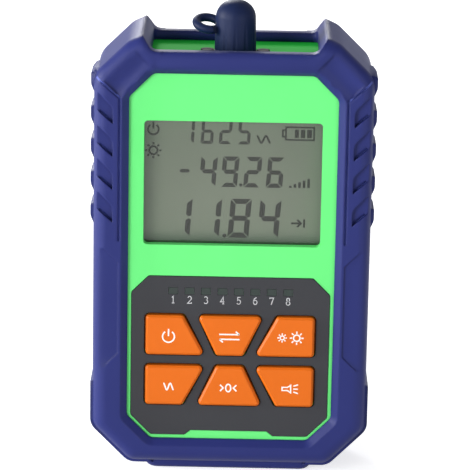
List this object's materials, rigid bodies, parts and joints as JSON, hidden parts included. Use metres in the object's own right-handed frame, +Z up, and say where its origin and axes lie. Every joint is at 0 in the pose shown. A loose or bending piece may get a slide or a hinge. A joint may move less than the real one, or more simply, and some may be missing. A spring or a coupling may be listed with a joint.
{
  "type": "optical power meter",
  "caption": "Pocket optical power meter in a ribbed rubber boot, with a recessed display, slanted press keys, indicator row, capped fibre port, network jack and hinged battery door.",
  "frame": {"origin": "middle of the foot's underside, on the surface it stands on", "axes": "+Z up along the meter, -Y out of the display side, +X to the right seen from the display"},
  "size_m": [0.0688, 0.031, 0.1162],
  "materials": {
    "boot_rubber": "satin moulded rubber",
    "housing_green": "satin moulded plastic",
    "panel_grey": "matt printed film",
    "key_orange": "satin moulded keys",
    "black_plastic": "satin",
    "guide_green": "dark tinted",
    "lamp_white": "satin",
    "clear_lens": "polished",
    "display_grey": "polariser film over glass",
    "strip_rubber": "matt",
    "board_green": "solder mask",
    "steel": "plated",
    "nickel": "nickel plated",
    "ceramic_white": "ground",
    "cap_rubber": "satin moulded rubber",
    "contact_gold": "gold plated",
    "cell_jacket": "printed sleeve"
  },
  "bodies": {
    "meter": {"boot": "boot_rubber", "front_housing": "housing_green", "rear_housing": "housing_green", "keypad_panel": "panel_grey", "switch_bodies": "black_plastic", "indicator_guides": "guide_green", "indicator_leds": "lamp_white", "display_lens": "clear_lens", "display_cell": "display_grey", "display_backlight": "lamp_white", "display_frame": "black_plastic", "display_strip": "strip_rubber", "main_board": "board_green", "board_chips": "black_plastic", "housing_screws": "steel", "board_screws": "steel", "port_adapter": "nickel", "ferrule_sleeve": "ceramic_white", "port_detector": "steel", "port_screws": "steel", "network_jack": "black_plastic", "network_contacts": "contact_gold", "battery_left": "cell_jacket", "battery_middle": "cell_jacket", "battery_right": "cell_jacket", "battery_plates": "nickel", "battery_springs": "nickel"},
    "cap": {"dust_cap": "cap_rubber"},
    "door": {"battery_door": "housing_green"},
    "button_power": {"key_power": "key_orange", "plunger_power": "black_plastic"},
    "button_unit": {"key_unit": "key_orange", "plunger_unit": "black_plastic"},
    "button_light": {"key_light": "key_orange", "plunger_light": "black_plastic"},
    "button_wavelength": {"key_wavelength": "key_orange", "plunger_wavelength": "black_plastic"},
    "button_reference": {"key_reference": "key_orange", "plunger_reference": "black_plastic"},
    "button_lamp": {"key_lamp": "key_orange", "plunger_lamp": "black_plastic"}
  },
  "joints": [
    {"name": "press_power", "type": "slide", "parent": "meter", "child": "button_power", "axis": [0, 1, 0], "range_m": [0, 0.0005], "stiffness_N_per_m": 800},
    {"name": "press_unit", "type": "slide", "parent": "meter", "child": "button_unit", "axis": [0, 1, 0], "range_m": [0, 0.0005], "stiffness_N_per_m": 800},
    {"name": "press_light", "type": "slide", "parent": "meter", "child": "button_light", "axis": [0, 1, 0], "range_m": [0, 0.0005], "stiffness_N_per_m": 800},
    {"name": "press_wavelength", "type": "slide", "parent": "meter", "child": "button_wavelength", "axis": [0, 1, 0], "range_m": [0, 0.0005], "stiffness_N_per_m": 800},
    {"name": "press_reference", "type": "slide", "parent": "meter", "child": "button_reference", "axis": [0, 1, 0], "range_m": [0, 0.0005], "stiffness_N_per_m": 800},
    {"name": "press_lamp", "type": "slide", "parent": "meter", "child": "button_lamp", "axis": [0, 1, 0], "range_m": [0, 0.0005], "stiffness_N_per_m": 800},
    {"name": "dust_cap_pull", "type": "slide", "parent": "meter", "child": "cap", "axis": [0, 0, 1], "range_m": [0, 0.06]},
    {"name": "battery_door_hinge", "type": "hinge", "parent": "meter", "child": "door", "pos_m": [0, 0.0119, 0.0244], "axis": [-1, 0, 0], "range_deg": [0, 90]}
  ]
}
